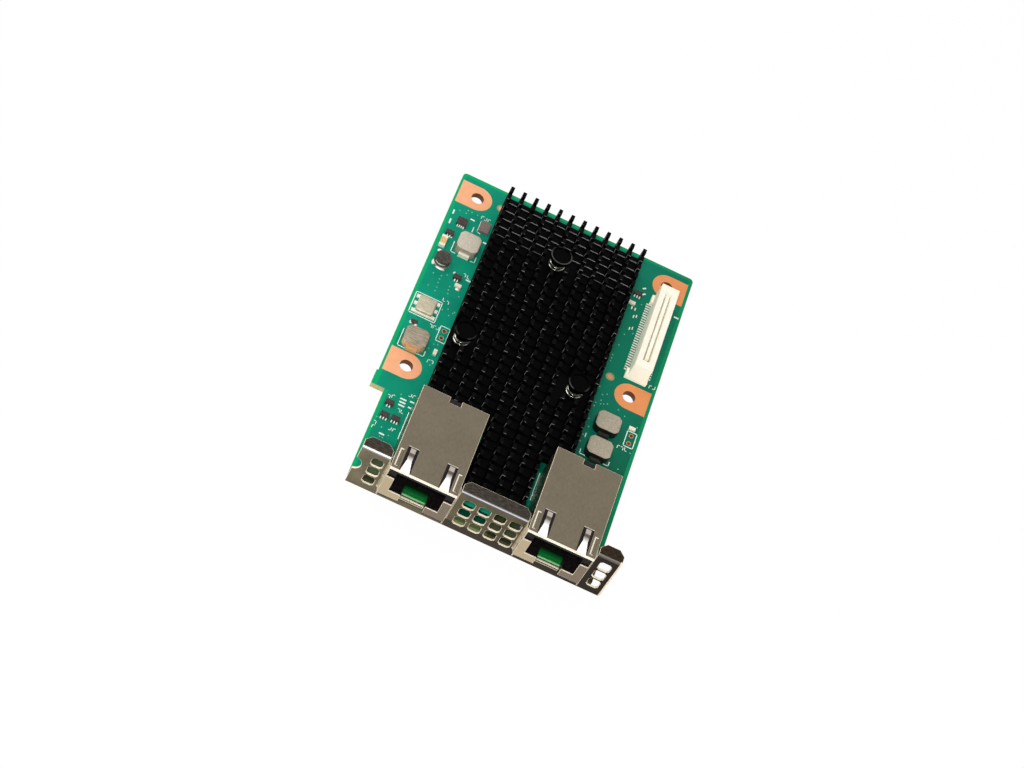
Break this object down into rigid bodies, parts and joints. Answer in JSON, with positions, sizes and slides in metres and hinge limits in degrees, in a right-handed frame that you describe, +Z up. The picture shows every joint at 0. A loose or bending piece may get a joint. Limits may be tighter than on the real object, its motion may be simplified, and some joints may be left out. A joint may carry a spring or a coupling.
{
  "type": "mezzanine network card",
  "caption": "Server mezzanine network card: green board with shielded network ports, pin-fin heatsink, vented faceplate and a board-to-board connector.",
  "frame": {"origin": "under the middle of the card's box, on the plane that the faceplate's lower edge and the push pins' barbs rest on", "axes": "+Z up from the board's component side, +Y from the ports to the board's rear edge, +X to the right seen from the ports"},
  "size_m": [0.0654, 0.0968, 0.0152],
  "materials": {
    "board_green": "solder mask, satin gloss",
    "bare_copper": "matt",
    "black_anodised": "matt anodised",
    "black_nylon": "smooth",
    "spring_steel": "bright",
    "shield_nickel": "brushed nickel",
    "port_black": "moulded",
    "contact_gold": "plated",
    "solder_tin": "tinned",
    "lamp_lens": "smoked clear",
    "plate_nickel": "nickel plated",
    "connector_ivory": "moulded",
    "coil_grey": "fired ferrite",
    "coil_brown": "fired ferrite",
    "drum_black": "fired ferrite",
    "chip_black": "moulded epoxy",
    "can_metal": "satin",
    "carrier_ceramic": "fired",
    "capacitor_tan": "fired",
    "pad_grey": "soft"
  },
  "bodies": {
    "root": {"bulk_capacitor": "capacitor_tan", "bulk_capacitor_ends": "solder_tin", "circuit_board": "board_green", "connector_housing": "connector_ivory", "connector_leads": "solder_tin", "controller_chip": "chip_black", "converter_chip": "chip_black", "drum_coil": "drum_black", "faceplate": "plate_nickel", "front_coil": "coil_brown", "front_coil_terminals": "solder_tin", "guard_chips": "chip_black", "guard_chips_leads": "solder_tin", "heatsink": "black_anodised", "left_jack_contacts": "contact_gold", "left_jack_housing": "port_black", "left_jack_lamps": "lamp_lens", "left_jack_shield": "shield_nickel", "left_jack_tails": "solder_tin", "mounting_pads": "bare_copper", "oscillator_base": "carrier_ceramic", "oscillator_can": "can_metal", "oscillator_pads": "solder_tin", "push_pin_springs": "spring_steel", "push_pins": "black_nylon", "rear_coil": "coil_grey", "rear_coil_terminals": "solder_tin", "regulator_chip": "chip_black", "regulator_chip_leads": "solder_tin", "right_jack_contacts": "contact_gold", "right_jack_housing": "port_black", "right_jack_lamps": "lamp_lens", "right_jack_shield": "shield_nickel", "right_jack_tails": "solder_tin", "side_coils": "coil_grey", "side_coils_terminals": "solder_tin", "small_capacitors": "capacitor_tan", "small_capacitors_ends": "solder_tin", "small_transistors": "chip_black", "small_transistors_leads": "solder_tin", "thermal_pad": "pad_grey"}
  },
  "joints": []
}
